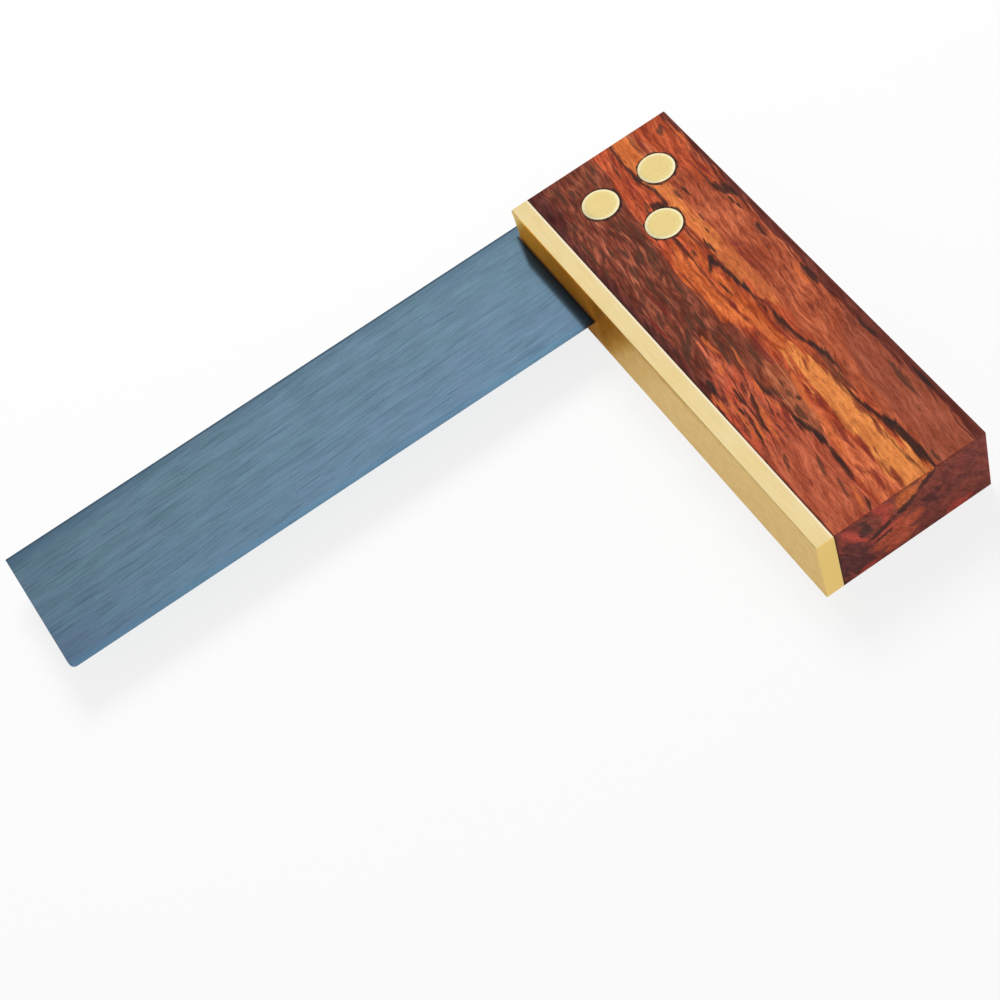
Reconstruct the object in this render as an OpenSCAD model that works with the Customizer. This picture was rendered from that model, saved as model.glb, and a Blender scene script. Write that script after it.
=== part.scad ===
// Joiner's try square. A thin steel blade is let into a hardwood stock faced with a brass plate.
// Three brass rivets hold it, each peened over a pair of round brass discs let in flush.
//
// The square lies flat, in millimetres, with +Z up through its thickness.
// The origin is the heel corner of the fence, at the underside:
//   x = 0 is the fence, the brass face that slides along the work, and the blade runs out along +X;
//   y = 0 is the heel end of the stock, at the blade, and the stock runs along +Y to its foot;
//   z = 0 is the underside of the stock.

/* [Blade] */
// Length of the blade beyond the fence
blade_reach = 150; // [75:1:300]
// Width of the blade over its two straight edges
blade_w = 38; // [32:0.5:50]
// Thickness of the blade
blade_t = 1.2; // [0.8:0.1:2.5]
// How far the blade's outer edge stands proud of the heel end
blade_proud = 3.2; // [0:0.1:5]
// Radius of the blade's inner tip corner
tip_corner_r = 1.5; // [0.5:0.1:4]
// How far the buried end of the blade stops short of the stock's back
blade_setback = 0.4; // [0:0.1:3]

/* [Stock] */
// Length of the stock from heel to foot
stock_l = 127; // [100:1:200]
// Depth of the wood from the brass to the back
wood_d = 41.5; // [36:0.5:60]
// Thickness of the stock
stock_t = 21.4; // [16:0.1:30]
// Width of the small chamfer on the edges of the wood
wood_ease = 0.5; // [0.2:0.1:1.5]

/* [Face plate] */
// Thickness of the brass face plate
plate_t = 4.8; // [2.5:0.1:8]
// Width of the small chamfer on the edges of the plate
plate_ease = 0.25; // [0.1:0.05:0.6]
// Clearance on each side of the blade in its slot
slot_play = 0.02; // [0.01:0.01:0.1]

/* [Rivets and discs] */
// Diameter of the rivet's shank
rivet_d = 4; // [3:0.1:5]
// Widest diameter of the rivet's peened end, at the face
rivet_head_d = 5.6; // [5.2:0.1:7]
// Clearance around the shank in the wood and the blade
rivet_play = 0.05; // [0.02:0.01:0.2]
// Diameter of the brass disc
disc_d = 9.5; // [8:0.1:11]
// Thickness of the brass disc
disc_t = 1.6; // [1.6:0.1:3]
// Width of the gap around the disc in its seat
disc_gap = 0.12; // [0.05:0.01:0.3]
// From the heel end to the centres of the front and back rivets
heel_margin = 14; // [10:0.1:18]
// From the back of the plate to the centre of the front rivet
front_margin = 13; // [8:0.1:16]
// From the back of the stock to the centre of the back rivet
back_margin = 11.8; // [8:0.1:15]
// From the blade's inner edge to the centre of the inner rivet
inner_margin = 5.2; // [4:0.1:8]

/* [Plate pins] */
// Diameter of a pin's shank
pin_d = 2.5; // [1.5:0.1:3.2]
// Diameter of a pin's countersunk head, at the fence
pin_head_d = 4.2; // [3.6:0.1:6]
// Length of a pin from the fence to its point
pin_l = 14; // [10:0.5:20]
// From either end of the stock to the nearest pin
pin_end_margin = 8; // [6:0.5:12]
// From the end of the slot to the first pin on the centre line
pin_slot_margin = 13; // [8:0.5:25]

/* [Hidden] */
// Segments of round shapes
$fn = 96;
// How far a cutting shape runs past the surface that it cuts
over = 1;

stock_w = plate_t + wood_d;
mid_z = stock_t / 2;
slot_t = blade_t + 2 * slot_play;
// The blade's inner edge, which is also the end of the slot
inner_y = blade_w - blade_proud;
// The buried end of the blade
buried_x = blade_setback - stock_w;

// Rivet places, seen from above. The inner rivet stands midway between the other two.
front_x = -plate_t - front_margin;
back_x = back_margin - stock_w;
RIVETS = ["front", "back", "inner"];
rivet_places = [
    [front_x, heel_margin],
    [back_x, heel_margin],
    [(front_x + back_x) / 2, inner_y - inner_margin],
];
rivet_sink = (rivet_head_d - rivet_d) / 2;

// Pin places on the fence, as [y, z]: one in each leg beside the slot, then a row down the middle.
leg_z = (mid_z - slot_t / 2) / 2;
row_start = inner_y + pin_slot_margin;
row_end = stock_l - pin_end_margin;
pin_places = [
    [pin_end_margin, leg_z],
    [pin_end_margin, stock_t - leg_z],
    for (share = [0, 0.5, 1]) [row_start + share * (row_end - row_start), mid_z],
];
pin_sink = (pin_head_d - pin_d) / 2;

// A rectangle with its four corners cut at 45 degrees
module eased_rect(w, h, ease) {
    polygon([
        [ease, 0], [w - ease, 0], [w, ease], [w, h - ease],
        [w - ease, h], [ease, h], [0, h - ease], [0, ease],
    ]);
}

// A block with all of its edges chamfered: three eased bars crossed
module eased_block(w, l, t, ease) {
    intersection() {
        linear_extrude(t) eased_rect(w, l, ease);
        translate([0, l, 0]) rotate([90, 0, 0]) linear_extrude(l) eased_rect(w, t, ease);
        rotate([90, 0, 90]) linear_extrude(w) eased_rect(l, t, ease);
    }
}

// The slot for the blade, open at the heel and through the plate and the back
module blade_slot() {
    translate([-stock_w - over, -over, mid_z - slot_t / 2])
        cube([stock_w + 2 * over, inner_y + over, slot_t]);
}

// A rivet's shank through the whole stock, grown by play on its radius
module shank(place, play = 0) {
    translate([place.x, place.y, 0])
        cylinder(d = rivet_d + 2 * play, h = stock_t);
}

// The cone of a peened end, on the underside
module peened_end(place) {
    translate([place.x, place.y, 0])
        cylinder(d1 = rivet_head_d, d2 = rivet_d, h = rivet_sink);
}

// What is done on the underside, done on the top face
module on_top() {
    translate([0, 0, stock_t]) mirror([0, 0, 1]) children();
}

// The two seats of a rivet's discs, one in each face
module disc_seat(place) {
    translate([place.x, place.y, 0])
        cylinder(d = disc_d + 2 * disc_gap, h = disc_t);
}

// A pin with a countersunk head and a tapered point, along -X from the fence
module pin(place) {
    point_l = pin_d;
    translate([0, place.x, place.y])
        rotate([0, -90, 0]) {
            cylinder(d = pin_d, h = pin_l - point_l);
            cylinder(d1 = pin_head_d, d2 = pin_d, h = pin_sink);
            translate([0, 0, pin_l - point_l])
                cylinder(d1 = pin_d, d2 = pin_d / 2, h = point_l);
        }
}

module stock() {
    color("#8a4430")
        difference() {
            translate([-stock_w, 0, 0])
                intersection() {
                    // The chamfers on the side of the plate fall outside the wood
                    eased_block(wood_d + wood_ease, stock_l, stock_t, wood_ease);
                    cube([wood_d, stock_l, stock_t]);
                }
            blade_slot();
            for (place = rivet_places) {
                shank(place, rivet_play);
                disc_seat(place);
                on_top() disc_seat(place);
            }
            for (place = pin_places) pin(place);
        }
}

module blade() {
    corner = [blade_reach - tip_corner_r, inner_y - tip_corner_r, mid_z - blade_t / 2];
    color("#6a8798")
        difference() {
            translate([buried_x, -blade_proud, mid_z - blade_t / 2])
                cube([blade_reach - buried_x, blade_w, blade_t]);
            translate(corner)
                difference() {
                    translate([0, 0, -over])
                        cube([tip_corner_r + over, tip_corner_r + over, blade_t + 2 * over]);
                    translate([0, 0, -2 * over])
                        cylinder(r = tip_corner_r, h = blade_t + 4 * over);
                }
            for (place = rivet_places) shank(place, rivet_play);
        }
}

module face_plate() {
    color("#e0c27a")
        difference() {
            intersection() {
                // The chamfers on the side of the wood fall outside the plate
                translate([-plate_t - plate_ease, 0, 0])
                    eased_block(plate_t + plate_ease, stock_l, stock_t, plate_ease);
                translate([-plate_t, 0, 0]) cube([plate_t, stock_l, stock_t]);
            }
            blade_slot();
            for (place = pin_places) pin(place);
        }
}

module rivet(place) {
    color("#d8bd78") {
        shank(place);
        peened_end(place);
        on_top() peened_end(place);
    }
}

module disc(place) {
    color("#edda9a")
        difference() {
            translate([place.x, place.y, 0]) cylinder(d = disc_d, h = disc_t);
            shank(place);
            peened_end(place);
        }
}

module face_pin(place) {
    color("#d2b468") pin(place);
}

stock();
blade();
face_plate();
for (i = [0:len(RIVETS) - 1]) {
    rivet(rivet_places[i]);
    on_top() disc(rivet_places[i]);
    disc(rivet_places[i]);
}
for (i = [1:len(pin_places)]) {
    face_pin(pin_places[i - 1]);
}
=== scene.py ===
# %% [markdown]
# # A joiner's try square
#
# A try square is the small tool that a joiner holds against an edge to see whether it is square.
# Its stock is rosewood faced with a brass plate, its blade is a thin strip of blued steel, and
# three rivets, each through a pair of round brass discs, hold the blade in a slot.
#
# The packed model is the fixed frame of this scene. It gives every size and place, in metres:
# x = 0 is the fence, the brass face, and the blade runs along +X; y = 0 is the heel, and the stock
# runs along +Y to its foot; z = 0 is the underside. Each piece is built over its own node.

# %% Load the frame
import math
from functools import reduce

import bmesh
import bpy
from mathutils import Matrix, Vector


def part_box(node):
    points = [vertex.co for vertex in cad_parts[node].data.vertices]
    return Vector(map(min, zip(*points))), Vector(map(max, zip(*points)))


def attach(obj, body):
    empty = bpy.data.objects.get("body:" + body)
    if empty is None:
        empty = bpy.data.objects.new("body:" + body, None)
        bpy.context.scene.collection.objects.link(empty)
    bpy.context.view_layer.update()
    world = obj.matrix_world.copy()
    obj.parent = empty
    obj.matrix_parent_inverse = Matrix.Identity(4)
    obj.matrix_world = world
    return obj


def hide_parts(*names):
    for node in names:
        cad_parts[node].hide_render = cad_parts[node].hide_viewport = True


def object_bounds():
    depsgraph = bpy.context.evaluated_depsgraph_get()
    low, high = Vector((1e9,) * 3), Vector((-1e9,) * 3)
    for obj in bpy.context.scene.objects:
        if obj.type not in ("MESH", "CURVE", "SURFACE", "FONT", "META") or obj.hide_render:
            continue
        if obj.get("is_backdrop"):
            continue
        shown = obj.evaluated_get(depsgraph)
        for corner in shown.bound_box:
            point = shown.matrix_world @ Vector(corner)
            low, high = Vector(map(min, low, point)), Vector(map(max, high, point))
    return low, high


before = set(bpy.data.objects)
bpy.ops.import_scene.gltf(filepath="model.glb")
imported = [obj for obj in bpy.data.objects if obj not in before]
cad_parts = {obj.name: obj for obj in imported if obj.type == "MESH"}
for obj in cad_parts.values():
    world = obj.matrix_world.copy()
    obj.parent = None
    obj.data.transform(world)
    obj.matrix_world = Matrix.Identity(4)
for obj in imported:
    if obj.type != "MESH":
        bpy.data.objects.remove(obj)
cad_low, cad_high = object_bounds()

MM = 0.001
print("frame holds", len(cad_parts), "nodes in a box of",
      [round(side / MM, 1) for side in cad_high - cad_low], "mm")

# %% [markdown]
# ## Sizes from the frame
#
# Each size could be typed in here again, but then a change would have to be made twice. So the
# corners of the nodes give the thickness of the plate, the ends of the wood and the axes of the
# rivets and pins, and a new size in the frame moves the looks with it.

# %% Sizes and places
wood_low, wood_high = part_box("stock")
plate_low, plate_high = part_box("face_plate")
blade_low, blade_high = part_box("blade")
joint_x = wood_high.x
top_z = wood_high.z
slot_end = blade_high.y
RIVETS = ("front", "back", "inner")
PINS = [name for name in sorted(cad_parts) if name.startswith("face_pin_")]


def middle(node):
    """The middle of a node's box."""
    low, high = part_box(node)
    return (low + high) / 2


rivet_axes = {name: middle("rivet_" + name) for name in RIVETS}
print("blade inner edge at y =", round(slot_end / MM, 1), "mm; plate",
      round((plate_high.x - plate_low.x) / MM, 1), "mm thick;", len(PINS), "pins")

# %% [markdown]
# ## The camera
#
# The square is seen from above its foot with a long lens, and the camera is rolled so that the
# blade falls away to the lower left. A camera that tracks a point has its up axis upright, so the
# roll is one more turn about its own line of sight.

# %% Camera
EYE = Vector((0.1153, 0.3718, 0.4652))
AIM = Vector((0.0457, 0.0628, 0.0107))
ROLL = math.radians(-23.35)
LENS = 85.44

camera = bpy.data.objects.new("camera", bpy.data.cameras.new("camera"))
camera.data.lens = LENS
camera.data.sensor_width = 36
camera.data.clip_start = 0.01
camera.location = EYE
camera.rotation_mode = "QUATERNION"
level = (AIM - EYE).to_track_quat("-Z", "Y").to_matrix()
camera.rotation_quaternion = (level @ Matrix.Rotation(ROLL, 3, "Z")).to_quaternion()
bpy.context.scene.collection.objects.link(camera)
bpy.context.scene.camera = camera
print("camera", round((AIM - EYE).length, 3), "m from its aim")

# %% [markdown]
# ## Helpers for finishes
#
# Every finish here is a tree of nodes that feeds one Principled shader. Written out node by node
# such trees are long, so these classes give them short words. A value that is a socket is linked,
# and a plain number or colour is set on the socket itself.

# %% Paint chart


def paint(red, green, blue):
    """A colour from a paint chart, 0 to 255, as the linear colour that the shader needs."""
    shares = [part / 255 for part in (red, green, blue)]
    return tuple(((s + 0.055) / 1.055) ** 2.4 if s > 0.04 else s / 12.92 for s in shares) + (1,)


print("a coat of", paint(255, 255, 255), "is white")

# %% Recipes


class Recipe:
    """Short words for a tree's nodes. Each adds nodes and returns what comes out of the last."""

    def __init__(self, tree):
        self.tree = tree

    def feed(self, socket, value):
        if isinstance(value, bpy.types.NodeSocket):
            self.tree.links.new(value, socket)
        else:
            socket.default_value = value

    def node(self, kind, *values):
        """A new shader node of that kind, with its first sockets fed in their order."""
        node = self.tree.nodes.new("ShaderNode" + kind)
        for socket, value in zip(node.inputs, values):
            self.feed(socket, value)
        return node

    def maths(self, operation, *values):
        node = self.node("Math", *values)
        node.operation = operation
        return node.outputs[0]

    def chain(self, operation, values):
        return reduce(lambda first, second: self.maths(operation, first, second), values)

    def plus(self, *values):
        return self.chain("ADD", values)

    def minus(self, value, taken):
        return self.maths("SUBTRACT", value, taken)

    def times(self, *values):
        return self.chain("MULTIPLY", values)

    def least(self, *values):
        return self.chain("MINIMUM", values)

    def most(self, *values):
        return self.chain("MAXIMUM", values)

    def measured(self, operation, *vectors):
        """A number from vectors: a length or a dot product."""
        node = self.node("VectorMath", *vectors)
        node.operation = operation
        return node.outputs["Value"]

    def scaled(self, vector, share):
        node = self.node("VectorMath", vector)
        node.operation = "SCALE"
        self.feed(node.inputs["Scale"], share)
        return node.outputs["Vector"]

    def split(self, vector):
        return self.node("SeparateXYZ", vector).outputs

    def join(self, x, y, z):
        return self.node("CombineXYZ", x, y, z).outputs[0]

    def noise(self, vector, size, turn=0, detail=3, roughness=0.5):
        """Noise from 0 to 1 in lumps or streaks of that size, which lie at that turn about Z."""
        place = self.node("Mapping", vector, (0, 0, 0), (0, 0, turn), size)
        place.vector_type = "TEXTURE"
        node = self.node("TexNoise", place.outputs[0])
        for socket, value in (("Scale", 1), ("Detail", detail), ("Roughness", roughness)):
            node.inputs[socket].default_value = value
        return node.outputs["Fac"]

    def ramp(self, value, low, high, to_low=0, to_high=1):
        """A smooth step from to_low at low to to_high at high."""
        node = self.node("MapRange", value, low, high, to_low, to_high)
        node.interpolation_type = "SMOOTHSTEP"
        return node.outputs[0]

    def where(self, *steps):
        """1 where each of these ramps is at its height, and less where any of them falls off."""
        return self.times(*[self.ramp(*step) for step in steps])

    def centred(self, share, reach):
        """A share from 0 to 1 as a shift of up to reach/2 either way."""
        return self.times(self.minus(share, 0.5), reach)

    def line(self, value, points, along, top):
        """A smooth curve through given points (value, height), level beyond its ends."""
        node = self.node("FloatCurve")
        self.feed(node.inputs["Value"], self.maths("DIVIDE", value, along))
        node.mapping.extend = "HORIZONTAL"
        curve = node.mapping.curves[0]
        shares = [(place / along, height / top) for place, height in points]
        curve.points[0].location = shares[0]
        curve.points[1].location = shares[-1]
        for share in shares[1:-1]:
            curve.points.new(*share)
        for point in curve.points:
            point.handle_type = "AUTO_CLAMPED"
        node.mapping.update()
        return self.times(node.outputs[0], top)

    def mix(self, share, first, second, how="MIX"):
        node = self.node("Mix")
        node.data_type = "RGBA"
        node.blend_type = how
        for socket, value in (("Factor", share), ("A", first), ("B", second)):
            self.feed(node.inputs[socket], value)
        return node.outputs["Result"]

    def coat(self, under, paint_colour, value, low, high, most=1):
        """The colour under, with a coat that comes in as the value goes from low to high."""
        return self.mix(self.ramp(value, low, high, 0, most), under, paint_colour)

    def graded(self, under, share, value, deeper, brighter):
        """The colour under, times a tint that goes from deeper to brighter with the value."""
        tint = self.mix(value, (*deeper, 1), (*brighter, 1))
        return self.mix(share, under, tint, "MULTIPLY")

    def seeing(self):
        """1 for a ray that sees, by itself or in metal or glass, and 0 for light on its way; and
        1 for the camera's own rays alone."""
        path = self.node("LightPath").outputs
        mirrored = self.most(path["Is Glossy Ray"], path["Is Transmission Ray"])
        return self.most(path["Is Camera Ray"], mirrored), path["Is Camera Ray"]


print("a recipe knows", len([word for word in vars(Recipe) if word[0] != "_"]), "words")

# %% Finishes


class Finish(Recipe):
    """One material and its Principled shader. place is a point of the piece, in millimetres."""

    def __init__(self, name, **shader_values):
        self.material = bpy.data.materials.new(name)
        self.material.use_nodes = True
        super().__init__(self.material.node_tree)
        self.shader = self.tree.nodes["Principled BSDF"]
        for socket, value in shader_values.items():
            self.use(socket.replace("_", " "), value)
        self.place = self.scaled(self.node("TexCoord").outputs["Object"], 1 / MM)

    def use(self, socket, value):
        self.feed(self.shader.inputs[socket], value)

    def bump(self, height, depth):
        """Relief of that depth in metres on the shader's normal."""
        node = self.node("Bump")
        node.inputs["Distance"].default_value = depth
        self.feed(node.inputs["Height"], height)
        self.use("Normal", node.outputs[0])


print("each finish feeds the shader of a material of its own")

# %% [markdown]
# ## Rosewood
#
# Rosewood grows dark and light wood in thin sheets round the tree. Where a saw cuts across the
# sheets they show as long streaks, and on the end of the block as slanting bands. A figure painted on
# each face would break at the arrises. So this finish is solid: each point of the block finds its
# own place in the tree. "along" runs from heel to foot, "behind" from the fence to the back and
# "below" down from the top face, in millimetres. A sheet leans, so a point that lies deeper is as
# far out in the tree as one further back on top: that place is "sheet".
#
# No border in wood is a clean line, because it is made of fibres. Three noises push the sheets
# about: a slow one bends them, and two that are drawn out along the fibres, one finer than the
# other, fray whatever lies on them.

# %% Rosewood: places in the tree
LEAN = 1.9
FIBRE_ROUGHNESS = 0.55

wood = Finish("rosewood", Specular_IOR_Level=0.12)
x, y, z = wood.split(wood.place)
behind = wood.times(x, -1)
below = wood.minus(top_z / MM, z)
straight_sheet = wood.maths("MULTIPLY_ADD", below, LEAN, behind)
wander = wood.noise(wood.join(y, straight_sheet, below), (13, 5, 7), detail=2)
tree_place = wood.join(y, wood.plus(straight_sheet, wood.centred(wander, 3.2)), below)


def fibres(length, width, turn, detail=3, spread=0.36):
    """Streaks of that size in mm, from 0 to 1. They lie at that turn to the block's edge."""
    noise = wood.noise(tree_place, (length, width, length / 2), turn, detail, FIBRE_ROUGHNESS)
    return wood.ramp(noise, 0.5 - spread / 2, 0.5 + spread / 2)


fray = fibres(8, 0.5, -0.13)
feather = fibres(13, 0.9, -0.1)
sheet = wood.plus(straight_sheet, wood.plus(wood.centred(wander, 1.4), wood.centred(fray, 0.5)))
ragged_sheet = wood.plus(sheet, wood.plus(wood.centred(feather, 1.9), wood.centred(fray, 0.4)))
print("a sheet moves back", LEAN, "mm for each mm down")

# %% [markdown]
# ### The bands
#
# A band is a stretch of one colour between two borders, and both borders wander from heel to foot.
# Noise alone would put the bands anywhere, so each border is a smooth curve through a few points
# (along, behind) where this block has it. The bands are laid over one another like coats of paint,
# from the dark wood beside the brass to the dark edge at the back.

# %% Rosewood: bands
FIGURE_L = 130
FIGURE_W = 60
DARK = paint(132, 67, 48)
PURPLE = paint(92, 42, 38)
BANDS = [
    # colour, softness, near border, far border
    (paint(150, 77, 56), 3.0,
     [(0, 17), (12, 17), (20, 9), (36, 8.6), (46, 17), (130, 17)],
     [(0, 14), (12, 14), (20, 16.4), (36, 16), (46, 14), (130, 14)]),
    (paint(188, 90, 63), 0.9,
     [(0, 14), (60, 14), (66, 11.8), (72, 10.6), (78, 8), (82, 5), (130, 4)],
     [(0, 13), (60, 13), (66, 13.8), (74, 14.4), (80, 16.2), (96, 16.6), (104, 18), (130, 18)]),
    (paint(178, 98, 66), 1.2,
     [(0, 22), (76, 22), (84, 16.9), (98, 17.2), (106, 19), (130, 19)],
     [(0, 21), (76, 21), (84, 22.6), (92, 22), (98, 20.6), (106, 18), (130, 18)]),
    (paint(194, 86, 52), 0.8,
     [(0, 24.4), (12, 23), (25, 22.2), (36, 20.8), (48, 20), (60, 20), (68, 21.8), (80, 22.8),
      (90, 22.4), (98, 20.6), (110, 18.6), (120, 17), (130, 15)],
     [(0, 34), (130, 34)]),
    (paint(219, 110, 57), 0.7,
     [(0, 25.6), (32, 25.6), (42, 20.9), (48, 20.2), (60, 20.3), (66, 22), (72, 25.6)],
     [(0, 24.5), (32, 24.5), (60, 24.4), (72, 24.5)]),
    (paint(211, 107, 68), 1.0,
     [(0, 30), (90, 30), (98, 20.8), (106, 19.2), (116, 18.4), (130, 17)],
     [(0, 28), (90, 28), (98, 22), (106, 22.6), (116, 23.4), (130, 24.4)]),
    (paint(206, 100, 50), 0.9,
     [(0, 28), (28, 28), (38, 26.2), (50, 25.6), (64, 25.1), (76, 25), (84, 25.2), (94, 28)],
     [(0, 27), (28, 27), (38, 28), (52, 28), (64, 28.6), (84, 28.8), (94, 27)]),
    (paint(223, 126, 68), 0.8,
     [(0, 29.8), (24, 30), (48, 30.2), (62, 30.8), (74, 34), (130, 35)],
     [(0, 34.8), (10, 34.4), (24, 33.4), (48, 33.8), (62, 33.8), (74, 32.6), (130, 33)]),
    (paint(210, 110, 55), 1.4,
     [(0, 30.4), (10, 31), (15, 36), (130, 36)],
     [(0, 33.8), (10, 33.8), (15, 33), (130, 33)]),
    (paint(198, 104, 59), 1.4,
     [(0, 36), (40, 36), (47, 30.6), (62, 31), (70, 36), (130, 36)],
     [(0, 33), (40, 33), (47, 34), (62, 34), (70, 33), (130, 33)]),
    (paint(234, 140, 74), 0.7,
     [(0, 28), (72, 28), (82, 25.2), (92, 24.6), (104, 24), (112, 24.8), (120, 23.6), (130, 24.6)],
     [(0, 27), (72, 27), (82, 28.4), (92, 29.8), (108, 30.2), (118, 31), (130, 31.8)]),
    (paint(184, 91, 59), 1.2,
     [(0, 35.4), (10, 34.8), (24, 33.8), (60, 34), (78, 32.4), (100, 31.4), (112, 32.4), (130, 33.4)],
     [(0, 60), (130, 60)]),
    (paint(186, 82, 48), 1.2,
     [(0, 36.4), (16, 38), (26, 41), (40, 45), (130, 47)],
     [(0, 44.5), (20, 44), (40, 43), (130, 45)]),
    (paint(165, 85, 61), 1.8,
     [(0, 47), (66, 47), (92, 36), (130, 33.6)],
     [(0, 46), (130, 46)]),
    (paint(103, 48, 38), 1.0,
     [(0, 44.8), (30, 44.3), (60, 43.8), (90, 43.6), (110, 44), (130, 43.4)],
     [(0, 60), (130, 60)]),
]


def border(points):
    """How far behind the fence a border lies, from heel to foot."""
    return wood.line(y, points, FIGURE_L, FIGURE_W)


near_brass = wood.plus(ragged_sheet, wood.ramp(y, 2, 22, -2.5, 0))
colour = wood.coat(DARK, PURPLE, near_brass, 8, 5.6)
for band_colour, soft, near, far in BANDS:
    past_near = wood.minus(ragged_sheet, border(near))
    before_far = wood.minus(border(far), ragged_sheet)
    colour = wood.coat(colour, band_colour, wood.least(past_near, before_far), -soft / 2, soft / 2)
print(len(BANDS), "bands of colour")

# %% [markdown]
# Below the top face and on the other sides, the figure only needs to be of the same kind. There a
# slow noise picks between the dark, the red and the orange wood.

# %% Rosewood: the rest of the block
FIGURE_DEPTH = 7

deep = wood.noise(wood.join(y, ragged_sheet, 0.5), (125, 6.25, 1), roughness=0.65)
deep_colour = wood.coat(paint(108, 55, 44), paint(162, 78, 52), deep, 0.4, 0.52)
deep_colour = wood.coat(deep_colour, paint(200, 102, 56), deep, 0.55, 0.66)
too_deep = wood.ramp(below, FIGURE_DEPTH - 2, FIGURE_DEPTH + 2)
colour = wood.mix(wood.most(wood.ramp(sheet, 46, 50), too_deep), colour, deep_colour)
print("the figure of the top face is", FIGURE_DEPTH, "mm deep")

# %% [markdown]
# ### Streaks
#
# Within a band the wood is never even. Every few fibres it turns deeper or brighter, and because
# the dye in the wood swallows green and blue light first, the deeper streaks are also redder. They
# are noise drawn out along the fibres, in layers that multiply the colour, so that one recipe suits
# every band. The bright bands, and the wood near the foot in front and at the back, are calmer.

# %% Rosewood: streaks
CALM_STREAKS = 0.42
RINGS = 6

broad = fibres(15, 2.7, -0.05)
strand = fibres(6.5, 1.1, -0.1, detail=2)
thread = fibres(5, 0.5, -0.13, detail=2)
bright_foot = wood.where((y, 76, 84), (sheet, 24, 26), (sheet, 31.5, 30))
bright_heel = wood.where((sheet, 29.4, 30.6), (sheet, 35, 33.5), (y, 80, 70))
back_wood = wood.where((y, 78, 90, 0, 0.65), (sheet, 33.5, 35))
front_wood = wood.where((y, 94, 104, 0, 0.5), (sheet, 17, 14))
calm = wood.most(bright_foot, bright_heel, wood.plus(back_wood, front_wood))
streaky = wood.ramp(calm, 0, 1, 1, CALM_STREAKS)
for layer, deeper, brighter in ((broad, (0.74, 0.64, 0.62), (1.22, 1.31, 1.31)),
                                (strand, (0.69, 0.59, 0.57), (1.23, 1.34, 1.36)),
                                (thread, (0.93, 0.91, 0.9), (1.06, 1.07, 1.08))):
    colour = wood.graded(colour, streaky, layer, deeper, brighter)
colour = wood.mix(front_wood, colour, (1.06, 1.22, 1.16, 1), "MULTIPLY")

hair = fibres(3.6, 0.55, -0.14, detail=1)
colour = wood.graded(colour, wood.ramp(y, 84, 64), hair, (0.91, 0.89, 0.88), (1.11, 1.14, 1.15))
flame = fibres(9, 0.8, -0.2, spread=0.3)
growth = fibres(26, 2.2, -0.07, detail=4, spread=0.5)
ring = wood.maths("ABSOLUTE", wood.minus(wood.maths("FRACT", wood.times(growth, RINGS)), 0.5))
ringed = wood.times(wood.where((ring, 0.13, 0.03), (flame, 0.62, 0.4, 0, 0.6)), streaky)
colour = wood.mix(ringed, colour, paint(84, 36, 31))
print("calm wood has", CALM_STREAKS, "of the streaks of the rest")

# %% [markdown]
# The dark wood beside the brass has more to it than streaks: it is knitted from lighter and darker
# strands, with near-black spots. Two thirds of the way to the foot it is wildest, and there the
# flames in it run from black-brown to orange. One flame noise makes both: its lows are painted dark
# and its highs bright, so that they never fall on the same spot.

# %% Rosewood: dark wood and flames
spot = fibres(6, 0.5, -0.14, detail=1)
knit = fibres(5, 1, -0.15, detail=1)
in_dark_wood = wood.where((sheet, 21, 18), (y, 76, 64))
colour = wood.graded(colour, in_dark_wood, knit, (0.66, 0.62, 0.62), (1.36, 1.38, 1.36))
spotted = wood.times(in_dark_wood, wood.ramp(spot, 0.66, 0.82, 0, 0.7))
colour = wood.mix(spotted, colour, paint(72, 43, 35))
wild = wood.where((y, 73, 80), (y, 104, 94), (sheet, 17, 15.5))
red_wood = wood.where((sheet, 21, 24), (streaky, CALM_STREAKS, 1, 0, 0.3))
dark_flame = wood.times(wood.most(wild, red_wood), wood.ramp(flame, 0.32, 0.08, 0, 0.8))
colour = wood.mix(dark_flame, colour, paint(78, 36, 33))
bright_flame = wood.times(wild, wood.ramp(flame, 0.66, 0.86, 0, 0.8))
colour = wood.mix(bright_flame, colour, paint(204, 88, 58))
print("rosewood has", len(wood.tree.nodes), "nodes so far")

# %% [markdown]
# ### Seams
#
# Black seams run between the bands for a long way. A band with two close borders could make one,
# but where it thins out to nothing the borders would have to meet exactly. So a seam has one curve
# for its middle and one for its half width, which may go down to nothing.

# %% Rosewood: seams
INK = paint(46, 32, 28)
SEAM_MOST = 2
SEAMS = [
    # along, behind, half width
    [(0, 29.6, 0.5), (6, 29.1, 0.45), (13, 29, 0.55), (20, 29.9, 0.5), (25, 29.6, 0.7), (26, 29.6, 0)],
    [(33, 25.4, 0), (35, 25.4, 0.45), (41, 25.1, 0.45), (46, 25, 0.25), (54, 24.5, 0.2),
     (66, 24.3, 0.2), (70, 24.3, 0)],
    [(44.5, 28.5, 0), (47, 28.6, 0.65), (52, 29.1, 0.55), (57, 29.5, 0.55), (62, 30, 0.35),
     (66, 30.4, 0.4), (78, 30.7, 0.6), (84, 32, 0.7), (90, 32.6, 0.35), (97, 32.4, 0)],
    [(80, 30.2, 0), (90, 30.4, 0.35), (100, 30.5, 0.5), (105, 30.8, 0.6), (112, 31.8, 0.9),
     (120, 32.4, 1.1), (125, 32.5, 0.8), (130, 32.7, 0.5)],
    [(78, 15.9, 0), (84, 16.1, 0.4), (92, 16.5, 0.3), (98, 17, 0.7), (103, 17.9, 0.8), (107, 18.2, 0.3),
     (110, 18.1, 0)],
    [(108, 18.1, 0), (112, 17.8, 0.4), (116, 17.2, 0.4), (119, 16.8, 0)],
]
rough_edge = wood.maths("MULTIPLY_ADD", feather, 0.8, 0.65)
near_top = wood.ramp(below, FIGURE_DEPTH, FIGURE_DEPTH - 3)


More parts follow.
